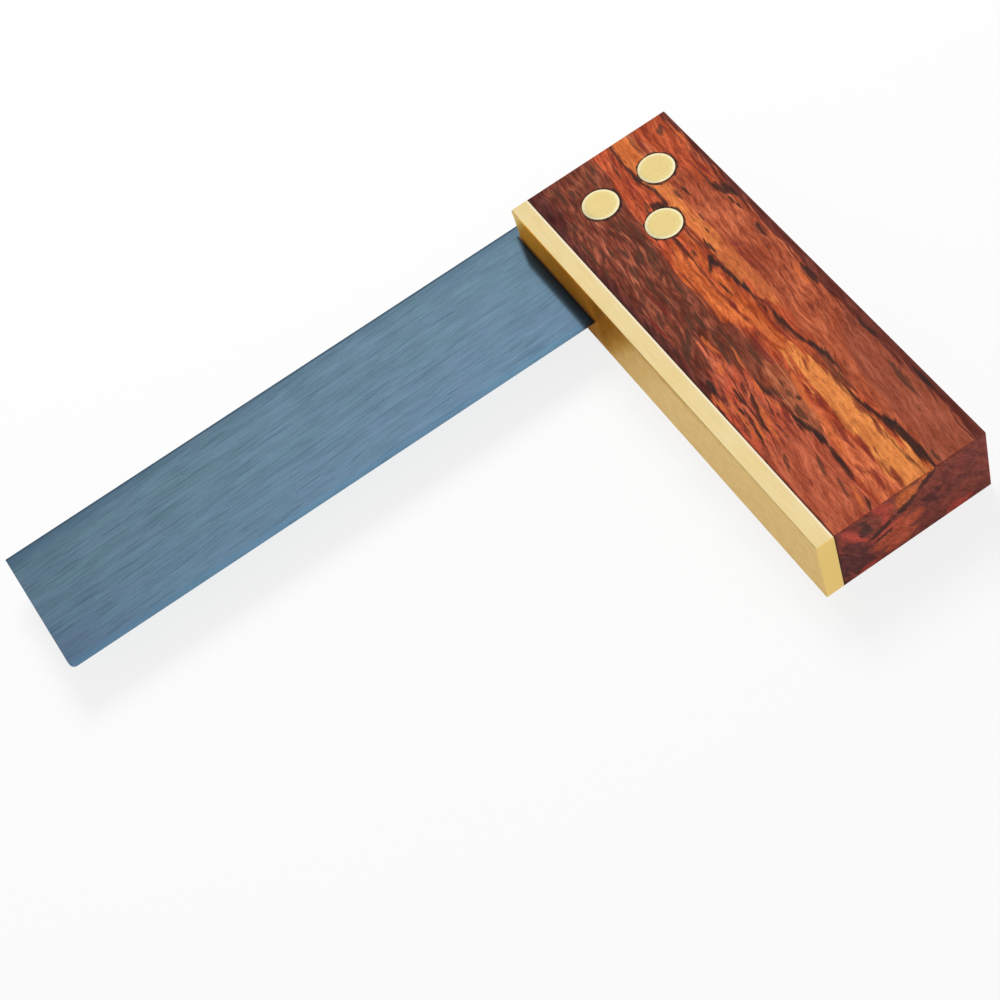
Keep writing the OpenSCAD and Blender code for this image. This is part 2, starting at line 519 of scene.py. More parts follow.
def seam(points):
    """How far a point is inside a seam, from 0 at its rim and outside to 1 in its middle."""
    centre = border([(along, place) for along, place, _ in points])
    width = wood.line(y, [(along, half) for along, _, half in points], FIGURE_L, SEAM_MOST)
    away = wood.maths("ABSOLUTE", wood.minus(sheet, centre))
    inside = wood.minus(wood.times(width, rough_edge), away)
    return wood.times(wood.ramp(inside, -0.25, 0.5, 0, 0.94), near_top)


for points in SEAMS:
    colour = wood.mix(seam(points), colour, INK)
print(len(SEAMS), "seams")

# %% [markdown]
# ### Marks
#
# Shorter marks are lenses: pointed at both ends, leaning as the fibres do, and frayed at the rim.
# Noise makes such marks too, but not where this block has them. A mark is named by its two ends, as
# (along, behind) twice, and its half width. Its own coordinates are two dot products with (along,
# behind, 1): the 1 brings in its middle. Marks of one colour are joined before they are painted,
# because the nearest one decides.

# %% Rosewood: where the marks lie
MARKS = [
    # colour, strength, marks
    (paint(78, 50, 38), 0.75, [
        (33.5, 12.8, 41, 11.7, 0.9), (40, 13.8, 46.5, 12.6, 0.8), (29, 14, 33.5, 13.8, 0.8),
        (31, 16.2, 37, 15.4, 0.8), (34, 17.6, 42, 16.5, 0.6), (13.8, 9.4, 17.4, 8.4, 0.8),
        (1, 12.2, 8.5, 11, 0.7), (5, 14.3, 8.5, 13.9, 0.6), (26.5, 11.4, 31, 10.9, 0.5),
        (20, 7.8, 29, 7.2, 0.6), (31, 7.8, 35.5, 6.3, 0.7), (19, 18.7, 29, 18.4, 0.6),
        (30, 19.3, 40, 18, 0.8), (2, 20.9, 9.5, 20, 0.8), (1.5, 22.8, 6, 21.6, 0.6),
        (44, 13.9, 53, 13.1, 0.6), (55, 14.7, 62, 13.6, 0.7), (55.5, 16.3, 63, 15.3, 0.7),
        (41, 18.4, 53, 17.6, 0.6), (58, 13.2, 69, 6.8, 0.9), (61, 9.4, 70, 7, 0.8),
        (66, 18.5, 78, 15.8, 1.1), (66, 16, 76, 13.6, 0.8), (71, 20.6, 80, 19.6, 0.9),
        (2.5, 42.8, 7, 41.4, 1.1), (96, 41.9, 111, 41.2, 0.8), (122, 34.9, 127, 34.2, 0.6),
        (106.5, 14.9, 114, 12.4, 0.7), (114.5, 14.8, 122, 12.9, 0.5), (93, 18.9, 97.5, 18.1, 0.6),
        (84.6, 20.2, 88, 19.9, 0.5), (88, 19.8, 91.6, 19.4, 0.5), (85, 17, 91, 17.9, 0.6),
        (94, 17.6, 99, 18.8, 0.5), (32.6, 33.9, 36, 34.1, 0.5), (37.2, 32.9, 40, 32.7, 0.5),
        (102, 9.3, 108, 7.2, 0.5), (83, 31.4, 100, 31.4, 0.8), (33.5, 28.8, 44, 28.9, 0.45),
        (40.6, 25.9, 44.2, 26.6, 0.45), (36, 23.5, 43.5, 22.1, 0.35), (22, 33.6, 27, 33.9, 0.7),
        (19, 42, 29, 41.6, 0.35), (16, 16.9, 26, 16.6, 0.4), (22, 20.4, 33, 18.9, 0.6),
        # (20, 26.7, 25.5, 24.6) is a painted shadow beside the inner disc.
        (4.5, 26.8, 11.5, 26.1, 0.5), (20, 26.7, 25.5, 24.6, 0.6), (98, 42.2, 106, 41.4, 0.7)]),
    (paint(124, 42, 36), 0.75, [
        (0, 36.8, 11, 34.9, 0.55), (0, 28, 9, 27.2, 0.35), (9, 26.9, 19, 26.6, 0.35),
        (13, 26.9, 19.5, 24.6, 0.45), (30.5, 20.7, 36, 21.3, 0.35), (43, 34.8, 62, 34.9, 0.4),
        (58.5, 24.4, 66, 24.1, 0.4), (41, 35.4, 54, 35.2, 0.35),
        (16, 43, 27, 43.3, 0.5), (11, 41.8, 23, 41.7, 0.35), (64, 31, 67.5, 30.8, 0.5),
        (83.5, 27.6, 89, 26.8, 0.5), (93.5, 24.1, 100.5, 23.2, 0.6), (89, 23.8, 94, 23.2, 0.5),
        (101, 22.9, 110.5, 21.9, 0.5), (107.5, 24.9, 119, 22.7, 0.7), (120, 25.2, 127.5, 24, 0.8),
        (113.5, 25.5, 116.5, 25.2, 0.4), (100.5, 29.3, 107, 29.1, 0.5), (107.5, 29.6, 114, 28.7, 0.5),
        (82, 8.9, 89, 8.2, 0.5), (43, 11.5, 55, 11, 0.4), (50, 7.6, 60, 7, 0.5),
        (111, 9.6, 114, 8.9, 0.4), (114, 19.9, 120, 19.2, 0.6), (116, 21.9, 125, 20.4, 0.5),
        (90.5, 16.4, 97, 15, 0.7), (69, 23, 83, 21.4, 0.8), (66, 28.9, 80, 28.6, 0.5)]),
    (INK, 0.9, [
        # (16.6, 29.8, 20, 33.4) is a painted shadow crescent beside the back disc.
        (16.6, 29.8, 20, 33.4, 0.4), (22.2, 26.6, 26, 29, 1.3), (40, 30.5, 45.6, 30.5, 0.75),
        (45.4, 29, 50, 25.8, 0.85), (53, 26, 59.6, 26.2, 0.45), (23, 35.4, 27.5, 36, 0.45),
        (26.5, 42, 34, 43.6, 1.2),
        (28.5, 43.8, 36, 44.5, 0.8), (33, 42.4, 39.5, 42.8, 0.45), (43.8, 42.6, 50.5, 42.3, 0.8),
        (61, 43.5, 69.5, 43.1, 0.9), (74, 7.4, 79, 7, 0.9), (83.8, 13.2, 91, 11.2, 0.8),
        (88, 11.8, 96.2, 9.6, 0.8), (89.5, 9.2, 99, 7, 0.45), (80, 10.7, 86.5, 10.3, 0.7),
        (85.5, 8.6, 88, 8.4, 0.5), (122.4, 16.2, 128, 14.8, 0.45), (91, 20.8, 93.6, 20.5, 0.5),
        (102, 45, 112, 44.8, 0.7), (82, 44, 92, 43.8, 0.6),
        (109.5, 31.6, 112.5, 32.6, 0.6), (96.5, 16.1, 102, 15.9, 0.35)]),
    (paint(218, 112, 60), 0.8, [
        (80, 15.3, 93, 15.5, 0.45), (84.5, 13.8, 100, 10, 0.8), (81, 8.2, 96, 6.9, 0.45),
        (87, 10.4, 97.5, 8, 0.5), (84, 23.4, 99, 20.9, 0.8), (60, 41.9, 69, 41.3, 0.6),
        (62.5, 13.9, 71, 13.4, 0.6), (96, 21.6, 113, 19.6, 0.9), (118, 15.9, 127.5, 13.4, 0.6),
        (72, 12.8, 76, 11.2, 1.0), (70, 16.8, 79, 16.3, 0.45),
        (1, 44.7, 18, 44.4, 0.3), (63, 25.9, 82, 26.6, 1.1), (30, 31.4, 42, 31.2, 0.7),
        (78, 5.9, 86, 6.2, 0.6)]),
]
print(sum(len(marks) for _, _, marks in MARKS), "marks in", len(MARKS), "colours")

# %% Rosewood: marks
MARK_RIM = 1.15
MARK_CORE = 0.5


def out_in_mark(flat_place, ends):
    """How far out a point is in a mark: 0 at the middle and 1 at the rim, which ends in points."""
    a1, b1, a2, b2, half_width = ends
    centre, reach = Vector((a1 + a2, b1 + b2)) / 2, Vector((a2 - a1, b2 - b1)) / 2
    long_way = reach / reach.length_squared
    short_way = Vector((-reach.y, reach.x)) / (reach.length * half_width)
    lengthways = wood.measured("DOT_PRODUCT", flat_place, (*long_way, -long_way.dot(centre)))
    across = wood.measured("DOT_PRODUCT", flat_place, (*short_way, -short_way.dot(centre)))
    return wood.maths("MULTIPLY_ADD", lengthways, lengthways, wood.maths("ABSOLUTE", across))


def lay_marks(under, flat_place, marks, strength, paint_colour, fraying):
    """The colour under, with these marks painted over it. The fraying pushes their rims in and out."""
    nearest = reduce(wood.least, (out_in_mark(flat_place, ends) for ends in marks))
    return wood.coat(under, paint_colour, wood.plus(nearest, fraying), MARK_RIM, MARK_CORE, strength)


flat_place = wood.join(y, sheet, 1)
fraying = wood.plus(wood.centred(fray, 0.5), wood.centred(thread, 0.4))
for mark_colour, strength, marks in MARKS:
    fading = wood.times(near_top, strength)
    colour = lay_marks(colour, flat_place, marks, fading, mark_colour, fraying)
print("rosewood has", len(wood.tree.nodes), "nodes so far")

# %% [markdown]
# ### Pores and end grain
#
# Rosewood is full of open pores, which show as fine dark dashes along it. The ends of the block
# drink more polish than its sides, so they are redder and browner. The sheets cross them on a
# slant as curly bands, which are drawn as broad marks in the end's own (behind, below).

# %% Rosewood: pores and end grain
END_SKIN = 0.35

pore = fibres(2.6, 0.16, -0.1, detail=1)
pore_dark = wood.ramp(pore, 0.72, 0.95, 0, 0.45)
colour = wood.mix(pore_dark, colour, paint(66, 32, 28))

foot_y = wood_high.y / MM
heel_y = wood_low.y / MM
end_grain = wood.most(wood.ramp(y, foot_y - END_SKIN, foot_y - 0.1),
                      wood.ramp(y, heel_y + END_SKIN, heel_y + 0.1))
end_place = wood.join(behind, below, 1)
end_curl = wood.noise(end_place, (1.6, 4, 1), -0.5, detail=2)
end_fibre = wood.noise(end_place, (0.4, 1.8, 1), -0.6, detail=1)
end_cloud = wood.noise(end_place, (4, 5, 1), -0.5, detail=2)
END_MARKS = [
    # colour, strength, marks as (behind, below) twice and a half width
    (paint(96, 46, 47), 0.8, [(4, 8, 13, 22, 6), (7, 5, 12, 13, 3), (26, 13, 34, 8, 2.4)]),
    (paint(222, 90, 74), 0.85, [
        (5.5, -1, 14, 12, 1.6), (14.5, -1, 21.5, 5, 1.9), (18.8, 3, 17.2, 10, 1.4),
        (12.6, 12.4, 25, 9.4, 1.3), (32.5, 21.8, 41, 19, 2.6), (8.6, 21.4, 14.6, 20, 1.6)]),
    (paint(234, 110, 74), 0.85, [(12.8, 15.8, 29, 11.8, 4.4), (15.8, 19.2, 27, 16.8, 2.6)]),
    (paint(246, 126, 66), 0.9, [(20, 5.8, 29, 0.8, 3.4), (26.5, 1.4, 33, -0.4, 1)]),
    (paint(74, 50, 44), 0.8, [(10.4, 4.4, 15, 8.4, 2.1), (11, 0.6, 13.6, 4.6, 0.9)]),
    (paint(58, 36, 33), 0.85, [
        (33, 0, 26, 5, 1.2), (28.4, 4.4, 19.4, 8.6, 1.3), (21.4, 7.8, 12, 11.2, 1.2),
        (13.6, 13, 21, 11.4, 0.8)]),
]
end_colour = wood.mix(0.85, colour, paint(158, 73, 60))
end_colour = wood.mix(wood.ramp(end_cloud, 0.36, 0.6, 0.45, 0), end_colour, paint(112, 55, 51))
end_fraying = wood.plus(wood.centred(wood.ramp(end_curl, 0.3, 0.7), 0.75),
                        wood.centred(wood.ramp(end_fibre, 0.3, 0.7), 0.25))
for mark_colour, strength, marks in END_MARKS:
    end_colour = lay_marks(end_colour, end_place, marks, strength, mark_colour, end_fraying)
for noise, deeper, brighter in ((end_curl, (0.74, 0.68, 0.68), (1.22, 1.28, 1.28)),
                                (end_fibre, (0.84, 0.8, 0.8), (1.14, 1.18, 1.18))):
    end_colour = wood.graded(end_colour, 1, wood.ramp(noise, 0.32, 0.68), deeper, brighter)
end_colour = wood.coat(end_colour, paint(112, 54, 46), y, foot_y / 2, heel_y, 0.5)
colour = wood.mix(end_grain, colour, end_colour)
print("end grain is", END_SKIN, "mm deep and has", len(END_MARKS), "colours of band")

# %% [markdown]
# ### Dark joint, seat shadows and sheen
#
# The wood is darker along the joint beside the brass. Round every disc's seat it is dark too, partly
# the gap and partly painted shadow, which lies a little to one side, towards the foot and the back. End
# grain shines less than the sides.

# %% Rosewood: dark joint, seat shadows and sheen
SEAT_RIM = 5.4
# The painted shadow round each seat is shifted this far from the rivet's axis, in millimetres.
SEAT_SHADOW_SHIFT_X = -0.13
SEAT_SHADOW_SHIFT_Y = 0.2
FIBRE_RELIEF = 0.014 * MM


def from_rivets(finish, shift_x=0, shift_y=0):
    """How far out a point lies from the nearest rivet's axis, or from beside it, in millimetres."""
    x, y, _ = finish.split(finish.place)
    return reduce(finish.least, (
        finish.measured("LENGTH", finish.join(finish.minus(x, axis.x / MM + shift_x),
                                              finish.minus(y, axis.y / MM + shift_y), 0))
        for axis in rivet_axes.values()))


# Partly the dark gap and partly painted shadow round each seat, heavier towards the foot and the back.
rim = wood.plus(from_rivets(wood, SEAT_SHADOW_SHIFT_X, SEAT_SHADOW_SHIFT_Y), wood.centred(feather, 0.6))
colour = wood.coat(colour, INK, rim, SEAT_RIM, SEAT_RIM - 0.35, 0.9)
joint = wood.plus(behind, wood.centred(fray, 0.25))
joint_line = -joint_x / MM
colour = wood.coat(colour, paint(52, 25, 16), joint, joint_line + 0.65, joint_line + 0.2, 0.75)

wood.use("Base Color", colour)
wood.use("Roughness", wood.ramp(end_grain, 0, 1, wood.ramp(strand, 0, 1, 0.5, 0.4), 0.6))
wood.bump(wood.minus(thread, wood.times(pore_dark, 2)), FIBRE_RELIEF)
print("rosewood has", len(wood.tree.nodes), "nodes")

# %% [markdown]
# ## Brass
#
# Brass is a metal, so its colour is the colour of what it reflects, tinted. It was rubbed down with
# fine paper, along the plate and every way on the discs. The rub marks are noise, drawn out along
# the plate and even on the discs, and they change the roughness more than the colour.

# %% Brass finish
BRASS_EDGE = (0.84, 0.74, 0.58, 1)
RUB_RELIEF = 0.004 * MM


def brass(name, tone, strokes, roughness, more=None):
    """A satin brass. strokes is the size in mm of one rub mark along x, y and z.

    Brass goes paler where light grazes it, but dull brass does so less, so its edge tint is held."""
    metal = Finish(name, Metallic=1, Specular_Tint=BRASS_EDGE, Specular_IOR_Level=0)
    cloud = metal.noise(metal.place, (9, 9, 9))
    rub = metal.noise(metal.place, strokes, roughness=0.6)
    tone_here = metal.coat(tone, paint(238, 211, 139), cloud, 0.3, 0.7, 0.45)
    tone_here = metal.scaled(tone_here, metal.ramp(rub, 0.2, 0.8, 0.92, 1.08))
    metal.use("Roughness", metal.ramp(rub, 0.2, 0.8, roughness - 0.05, roughness + 0.06))
    if more is not None:
        tone_here = more(metal, tone_here)
    metal.use("Base Color", tone_here)
    metal.bump(rub, RUB_RELIEF)
    return metal.material


print("rub marks are", round(RUB_RELIEF / MM, 3), "mm deep")

# %% [markdown]
# The fence and the ends of the plate are painted a deeper gold than the top: painted shade, as they
# take less light than the top. Beside the blade a brown coat is painted on the fence, in the corner
# above the blade and in the corner below it: a painted reflection of the blade and painted shade. It
# ends a little past the blade, but a thin line of painted shade runs under the top arris, and the
# corner at the heel is left paler and clear of it. Where the brown coat lies the finish is mostly no
# metal, and past the blade its reflection is tinted brown. Along the wood the plate's edge is painted
# pale: a painted highlight on that arris.

# %% Brass: painted shade, reflection and highlight on the plate
SKIN = 0.3
MID_Z = (blade_low.z + blade_high.z) / 2 / MM
CORNER_SHADE_LEAN = 0.8
CORNER_SHADE_MATTE = 0.84


# Paints light on the plate: shade on the fence and the ends, a brown reflection and shade beside the
# blade, and a highlight along the wood. The blotches are the brass's own uneven tone.
def plate_painted_light(metal, tone_here):
    x, y, z = metal.split(metal.place)
    from_end = metal.least(metal.minus(y, plate_low.y / MM), metal.minus(plate_high.y / MM, y))
    past_joint = joint_x / MM
    # Painted highlight: the plate's edge along the wood is painted pale.
    tone_here = metal.coat(tone_here, paint(255, 240, 208), x, past_joint + 0.65, past_joint + 0.3)
    # Painted shade: the ends of the plate are a deeper gold.
    tone_here = metal.coat(tone_here, paint(243, 211, 131), from_end, SKIN, SKIN / 2)
    # Painted shade: the fence is a deeper gold than the top.
    on_fence = metal.ramp(x, plate_high.x / MM - SKIN, plate_high.x / MM - SKIN / 2)
    blotch = metal.noise(metal.place, (2, 3.4, 2), detail=4, roughness=0.6)
    fence_shaded_tone = metal.mix(metal.ramp(blotch, 0.3, 0.7), paint(219, 187, 120), paint(232, 202, 134))
    tone_here = metal.mix(on_fence, tone_here, fence_shaded_tone)
    # Painted reflection and shade: a brown coat in the corner beside the blade, leaning as the blade's
    # mirror image in the fence does.
    above_blade = metal.minus(z, MID_Z)
    off_corner = metal.minus(y, metal.times(above_blade, CORNER_SHADE_LEAN))
    off_corner = metal.minus(metal.plus(off_corner, metal.centred(blotch, 3)), slot_end / MM)
    corner_shade = metal.most(metal.ramp(off_corner, 18.5, 2.5), metal.ramp(off_corner, 31, 8, 0, 0.25))
    # Painted shade in a thin line under the top arris, fading out towards the foot.
    below_top = metal.minus(plate_high.z / MM, z)
    arris_shade = metal.where((below_top, 2.2, 0.3), (y, 104, 56, 0, 0.36))
    corner_shade = metal.most(corner_shade, arris_shade)
    # The painted corner shade stops short of the heel corner and is paler towards it.
    off_heel = metal.maths("MULTIPLY_ADD", below_top, 0.75, y)
    corner_shade = metal.times(corner_shade, metal.ramp(off_heel, 2.4, 4.6))
    corner_shade_colour = metal.mix(metal.ramp(off_heel, 3.5, 8), paint(255, 218, 120), paint(255, 178, 62))
    corner_shade_colour = metal.coat(corner_shade_colour, paint(204, 130, 38), y, 2, 28)
    past_slot = metal.ramp(y, slot_end / MM - 1, slot_end / MM + 3)
    corner_shade_colour = metal.mix(past_slot, corner_shade_colour, paint(164, 104, 30))
    corner_shade = metal.times(corner_shade, on_fence, metal.ramp(blotch, 0.3, 0.7, 1, 0.9))
    # Past the blade the painted shade also tints the reflection brown.
    brown_reflection = metal.times(corner_shade, 1.6, past_slot)
    metal.use("Specular Tint", metal.mix(brown_reflection, BRASS_EDGE, (0.74, 0.46, 0.18, 1)))
    metal.use("Metallic", metal.minus(1, metal.times(corner_shade, CORNER_SHADE_MATTE)))
    return metal.mix(corner_shade, tone_here, corner_shade_colour)


# What this prints as tarnish is painted shade and reflection, made mostly no metal.
print("the film of tarnish is up to", CORNER_SHADE_MATTE, "no metal")

# %% [markdown]
# The discs are cleaner. A thin ring inside the rim of each is painted pale, as a painted highlight, and
# noise pushes it in and out, because a ring of even width would look printed. The rivets and the pins
# have brass of the same kinds, so that they all but vanish in the discs and the fence.

# %% Brass: the discs and the four finishes
RIM_HIGHLIGHT_FROM = 3.75
RIM_HIGHLIGHT_TO = 4.4


def rim_highlight(metal, tone_here):
    """A painted highlight: paler metal in an uneven ring inside the rim of each disc."""
    out = from_rivets(metal)
    rim_glint = metal.plus(out, metal.centred(metal.noise(metal.place, (0.9, 0.9, 0.9), detail=2), 0.9))
    return metal.coat(tone_here, paint(255, 243, 198), rim_glint, RIM_HIGHLIGHT_FROM, RIM_HIGHLIGHT_TO)


plate_brass = brass("plate_brass", paint(244, 222, 168), (0.25, 8, 0.25), 0.34, plate_painted_light)
disc_brass = brass("disc_brass", paint(244, 225, 156), (0.5, 0.5, 0.5), 0.36, rim_highlight)
rivet_brass = brass("rivet_brass", paint(245, 222, 154), (0.4, 0.4, 0.4), 0.36)
pin_brass = brass("pin_brass", paint(244, 222, 168), (0.25, 8, 0.25), 0.34, plate_painted_light)
print("four brass finishes")

# %% [markdown]
# ## Blued steel
#
# The blade is ground, drawn through emery along its length and then heated until a blue skin forms.
# It is still bare metal under a skin thinner than a hair, so it is a metal with a blue colour.
# Streaks run along it, with a few dark scratches. The blue is palest near the fence and deepest at the
# tip, which is painted shade, as the blade mirrors less light towards its tip. It is also deepest along
# the outer edge.

# %% Blade finish
BLADE_RELIEF = 0.0015 * MM

steel = Finish("blued_steel", Metallic=1, Specular_Tint=(0.62, 0.76, 0.86, 1))
steel_x, steel_y, _ = steel.split(steel.place)
wave = steel.noise(steel.place, (16, 6, 4), detail=2)
steel_place = steel.join(steel_x, steel.plus(steel_y, steel.centred(wave, 1.6)), 0)


def streaks(length, width, detail=3, roughness=0.55, turn=0.0):
    """Streaks of that size in mm along the blade, from 0 to 1."""
    noise = steel.noise(steel_place, (length, width, 1), turn, detail, roughness)
    return steel.ramp(noise, 0.3, 0.7)


long_streak = streaks(34, 0.8, detail=4, roughness=0.6)
short_streak = streaks(9, 0.5, turn=0.03)
patch = streaks(9, 3, detail=2)
grit = streaks(0.9, 0.5, detail=1)
tint = streaks(14, 4.5, detail=1)
dent = streaks(12, 0.5, detail=1, turn=0.05)
blade_far, blade_near = blade_high.y / MM, blade_low.y / MM
blue = steel.coat(paint(107, 136, 153), paint(109, 139, 161), steel_y, blade_near + 8, blade_far)
blue = steel.coat(blue, paint(112, 135, 161), tint, 0, 1, 0.4)
for layer, low, high in ((long_streak, 0.92, 1.06), (short_streak, 0.96, 1.03), (patch, 0.95, 1.05),
                         (grit, 0.97, 1.03)):
    blue = steel.scaled(blue, steel.ramp(layer, 0, 1, low, high))
blue = steel.coat(blue, paint(70, 97, 117), dent, 0.8, 0.97, 0.4)
tip_away = steel.minus(blade_high.x / MM, steel_x)
from_outer = steel.minus(steel_y, blade_near)
from_inner = steel.minus(blade_far, steel_y)
# Painted shade: the blue darkens towards the tip.
blue = steel.scaled(blue, steel.ramp(tip_away, 0, 125, 0.87, 1.05))
near_tip = steel.ramp(tip_away, 60, 5, 0.1, 0.5)
blue = steel.mix(steel.times(steel.ramp(from_outer, 7, 0.8), near_tip), blue, paint(80, 108, 133))
corner_away = steel.plus(steel.maths("DIVIDE", tip_away, 26), steel.maths("DIVIDE", from_inner, 20))
blue = steel.coat(blue, paint(88, 104, 136), corner_away, 1.1, 0.2, 0.35)
blue = steel.coat(blue, paint(96, 142, 174), from_inner, 2, 0.6, 0.35)
blue = steel.scaled(blue, steel.ramp(from_outer, 2.2, 3.6, 0.88, 1))
blue = steel.coat(blue, paint(52, 72, 92), from_outer, 0.9, 0.35, 0.7)
print("blade", round(blade_far - blade_near, 1), "mm wide")

# %% [markdown]
# Close to the fence the blade is painted nearly black: a painted reflection of the dark fence in the
# blade. The dark strip begins slantwise at the heel, as the fence's mirror image does, and a brown line
# painted as a reflection of the fence marks the very corner with the fence. What stands proud beyond
# the heel is all blue.

# %% Blade root
ROOT_W = 3.25
ROOT_START = 0.8
ROOT_SLANT = 0.25

# Painted reflection: the strip of the dark fence mirrored in the blade, widening from the heel.
root_reach = steel.least(ROOT_W, steel.maths("MULTIPLY_ADD", steel_y, ROOT_SLANT, ROOT_START))
in_root = steel.minus(root_reach, steel_x)
in_stock = steel.ramp(steel_y, -0.5, 0.3)
root = steel.times(steel.ramp(in_root, -0.75, 0.5, 0, 0.97), in_stock)
# Painted shade: the blue just beyond the strip is a little darker.
blue = steel.scaled(blue, steel.ramp(in_root, -2.8, -0.5, 1, 0.93))
root_reflection_colour = steel.coat(paint(12, 22, 31), paint(25, 43, 56), steel_x, 0.7, 1.4)
# Painted reflection: a brown line of the fence's colour right at the corner with the fence.
off_fence = steel.maths("ABSOLUTE", steel_x)
root_reflection_colour = steel.coat(root_reflection_colour, paint(134, 94, 42), off_fence, 0.46, 0.3)
blue = steel.mix(root, blue, root_reflection_colour)
steel.use("Metallic", steel.ramp(root, 0, 1, 1, 0.25))
steel.use("Base Color", blue)
steel.use("Roughness", steel.ramp(short_streak, 0, 1, 0.1, 0.18))
steel.bump(short_streak, BLADE_RELIEF)
print("blued steel has", len(steel.tree.nodes), "nodes")

# %% [markdown]
# ## Building shapes
#
# Two shapes make up all of the tool but its blade. A bar is a block whose arrises are rounded with
# a bevel. A turned part is a profile spun round an axis, as on a lathe. Slots, seats and holes are
# cut out of the bars afterwards, so that their rims stay as crisp as a saw and a drill leave them.

# %% Bars and turned parts
BEVEL_STEPS = 4
TURN_STEPS = 96


def mesh_from(name, build):
    """A mesh that build(bm) fills."""
    bm = bmesh.new()
    build(bm)
    bmesh.ops.recalc_face_normals(bm, faces=bm.faces)
    mesh = bpy.data.meshes.new(name)
    bm.to_mesh(mesh)
    bm.free()
    return mesh


def bar(name, low, high, ease, keep_sharp=lambda middle: False):
    """A block from low to high with its arrises rounded, save those that keep_sharp names."""
    def build(bm):
        bmesh.ops.create_cube(bm, size=1)
        for vertex in bm.verts:
            vertex.co = [a + (b - a) * (c + 0.5) for a, b, c in zip(low, high, vertex.co)]
        rounded = [edge for edge in bm.edges
                   if not keep_sharp((edge.verts[0].co + edge.verts[1].co) / 2)]
        bmesh.ops.bevel(bm, geom=rounded, offset=ease, segments=BEVEL_STEPS, profile=0.5,
                        affect="EDGES", clamp_overlap=True)
    return mesh_from(name, build)


def turned(name, profile, centre, axis="Z"):
    """A profile of (radius, distance along the axis) spun round an axis through centre.

    A profile that starts on the axis makes a solid, and one that starts off it makes a ring."""
    def build(bm):
        rings = []
        for radius, reach in profile:
            if radius == 0:
                rings.append([bm.verts.new((0, 0, reach))])
                continue
            angles = (2 * math.pi * step / TURN_STEPS for step in range(TURN_STEPS))
            rings.append([bm.verts.new((radius * math.cos(a), radius * math.sin(a), reach))
                          for a in angles])
        hollow = profile[0][0] > 0
        for ring, following in zip(rings, rings[1:] + rings[:1] if hollow else rings[1:]):
            for step in range(TURN_STEPS):
                corners = [ring[step % len(ring)], ring[(step + 1) % len(ring)],
                           following[(step + 1) % len(following)], following[step % len(following)]]
                bm.faces.new(list(dict.fromkeys(corners)))
        if axis == "-X":
            bmesh.ops.rotate(bm, verts=bm.verts, matrix=Matrix.Rotation(math.radians(-90), 3, "Y"))
        bmesh.ops.translate(bm, verts=bm.verts, vec=centre)
    return mesh_from(name, build)


print("turned parts have", TURN_STEPS, "sides")

# %% [markdown]
# ### Cutting and finishing
#
# A cut could be drawn into a mesh face by face. Taking one closed shape out of another is safer,
# because what comes out is closed as well. Faces that meet at less than the sharp angle are shaded
# as one rounding, so that four steps are enough for an arris.

# %% Cuts and pieces
SHARP_ANGLE = math.radians(32)


def loose(mesh):
    """An object for a mesh, not yet a piece."""
    thing = bpy.data.objects.new(mesh.name, mesh)
    bpy.context.scene.collection.objects.link(thing)
    return thing


def cut(mesh, cutters):
    """The mesh with every cutter taken out of it."""
    thing = loose(mesh)
    tools = [loose(cutter) for cutter in cutters]
    for tool in tools:
        saw = thing.modifiers.new("cut", "BOOLEAN")
        saw.operation = "DIFFERENCE"
        saw.solver = "MANIFOLD"
        saw.object = tool
    bpy.context.view_layer.update()
    evaluated = thing.evaluated_get(bpy.context.evaluated_depsgraph_get())
    finished = bpy.data.meshes.new_from_object(evaluated)
    name = mesh.name
    for spare in [thing, *tools]:
        bpy.data.meshes.remove(spare.data)
    finished.name = name
    return finished


def finish_piece(mesh, material, slot, *nodes):
    """Makes a piece of a mesh: smooth over its roundings, dressed, and standing for its nodes."""
    piece = loose(mesh)
    mesh.materials.clear()
    mesh.materials.append(material)
    mesh.polygons.foreach_set("use_smooth", [True] * len(mesh.polygons))
    mesh.set_sharp_from_angle(angle=SHARP_ANGLE)
    weights = piece.modifiers.new("even shading", "WEIGHTED_NORMAL")
    weights.keep_sharp = True
    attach(piece, "root")
    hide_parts(*nodes)
    return piece


print("edges stay sharp from", round(math.degrees(SHARP_ANGLE)), "degrees")

# %% [markdown]
# ## Rivets, discs and pins
#
# A rivet is a rod whose two ends were hammered out into countersunk discs and filed flush, so only
# a hairline shows between them. A disc sits in a seat with a thin gap round it. The pins hold the
# plate on the wood, and their heads were filed flush with the fence until they all but vanished.
# All of them are round, so each is turned from a profile, whose sizes come from its own node.

# %% Turned profiles
OVER = 1 * MM
HAIRLINE = 0.01 * MM
SHANK_R = 2 * MM
SHANK_PLAY = 0.05 * MM
SEAT_GAP = 0.12 * MM
DISC_EASE = 0.12 * MM
PIN_SHANK_R = 1.25 * MM
PIN_POINT = 2.5 * MM


def half_width(node):
    """Half the width of a node's box along Y, which is the radius of a round part."""
    low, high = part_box(node)
    return (high.y - low.y) / 2


def rivet_profile(name):
    head_r = half_width("rivet_" + name)
    sink = head_r - SHANK_R
    return [(0, 0), (head_r - HAIRLINE, 0), (SHANK_R, sink), (SHANK_R, top_z - sink),
            (head_r - HAIRLINE, top_z), (0, top_z)]


def disc_profile(name, side):
    """From the rivet's cone over the face and the eased rim to the underside of the disc."""
    low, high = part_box(f"disc_{name}_{side}")
    face, into = (high.z, -1) if side == "top" else (low.z, 1)
    radius = half_width(f"disc_{name}_{side}")
    cone_r = half_width("rivet_" + name)
    depths = [(cone_r, 0), (radius - DISC_EASE, 0), (radius - DISC_EASE / 3, DISC_EASE / 3),
              (radius, DISC_EASE), (radius, high.z - low.z), (SHANK_R, high.z - low.z),
              (SHANK_R, cone_r - SHANK_R)]
    return [(r, face + into * depth) for r, depth in depths]


